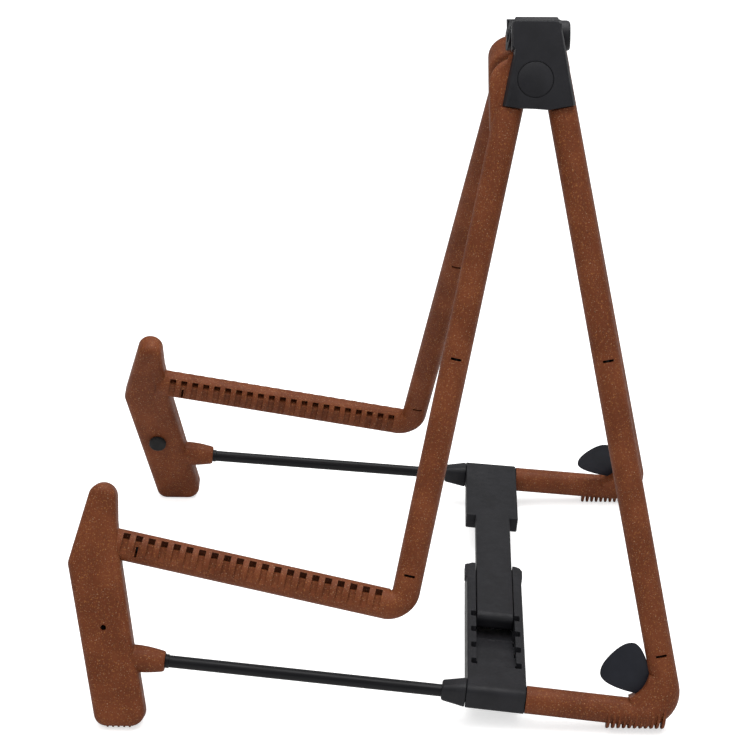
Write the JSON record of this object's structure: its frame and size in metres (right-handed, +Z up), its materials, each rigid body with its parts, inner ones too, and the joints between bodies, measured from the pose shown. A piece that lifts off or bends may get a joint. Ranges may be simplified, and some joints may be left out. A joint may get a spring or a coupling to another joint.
{
  "type": "folding guitar stand",
  "caption": "Low folding guitar stand: two tube side frames with feet and carrying arms, hinged at the top and held apart by a telescoping crossbar.",
  "frame": {"origin": "on the floor, in the middle of the bounding box of the stand set up for use", "axes": "+Z up, -Y towards the front, where the feet and arms are, +X towards the near side of the picture; the hinge line runs along Y"},
  "size_m": [0.286, 0.3126, 0.3426],
  "materials": {
    "composite": "brown wood-fibre composite with fine light and orange flecks",
    "black_plastic": "fine matt grain",
    "black_wire": "satin black coating",
    "rubber": "matt",
    "pick": "satin",
    "steel": "plain"
  },
  "bodies": {
    "near_side": {"near_frame": "composite", "near_wire_core": "black_wire", "near_lower_rod": "black_wire", "near_cap": "black_plastic", "near_badge_disc": "black_plastic", "near_nose_collar": "black_plastic", "near_block_bush": "black_plastic", "near_foot_pad": "rubber", "near_cap_screw_lower": "steel", "near_cap_screw_upper": "steel", "hinge_pin": "steel", "hinge_plug_front": "black_plastic", "hinge_plug_rear": "black_plastic", "hinge_washer_front": "steel", "hinge_washer_rear": "steel"},
    "far_side": {"far_frame": "composite", "far_wire_core": "black_wire", "far_lower_rod": "black_wire", "far_cap": "black_plastic", "far_badge_disc": "black_plastic", "far_nose_collar": "black_plastic", "far_block_bush": "black_plastic", "far_foot_pad": "rubber", "far_cap_screw_lower": "steel", "far_cap_screw_upper": "steel"},
    "channel": {"crossbar_channel": "black_plastic"},
    "tongue": {"crossbar_tongue": "black_plastic", "tongue_cross_pin": "steel"},
    "near_plectrum": {"near_plectrum": "pick"},
    "far_plectrum": {"far_plectrum": "pick"}
  },
  "joints": [
    {"name": "frame_fold", "type": "hinge", "parent": "near_side", "child": "far_side", "pos_m": [0, 0.08, 0.328], "axis": [0, -1, 0], "range_deg": [0, 39]},
    {"name": "channel_pivot", "type": "hinge", "parent": "near_side", "child": "channel", "pos_m": [0.13057, 0.0629, 0.01659], "axis": [0.0332, 0.995, -0.0938], "range_deg": [0, 70.6]},
    {"name": "tongue_pivot", "type": "hinge", "parent": "far_side", "child": "tongue", "pos_m": [-0.13057, 0.0629, 0.01659], "axis": [0.0332, -0.995, 0.0938], "range_deg": [0, 70.6]},
    {"name": "near_plectrum_slide", "type": "slide", "parent": "near_side", "child": "near_plectrum", "axis": [-0.2493, -0.6649, 0.7041], "range_m": [0, 0.02]},
    {"name": "far_plectrum_slide", "type": "slide", "parent": "far_side", "child": "far_plectrum", "axis": [0.2493, -0.6649, 0.7041], "range_m": [0, 0.02]}
  ],
  "couplings": [
    {"joint": "channel_pivot", "follows": "frame_fold", "ratio": 1.808},
    {"joint": "tongue_pivot", "follows": "frame_fold", "ratio": 1.808}
  ]
}
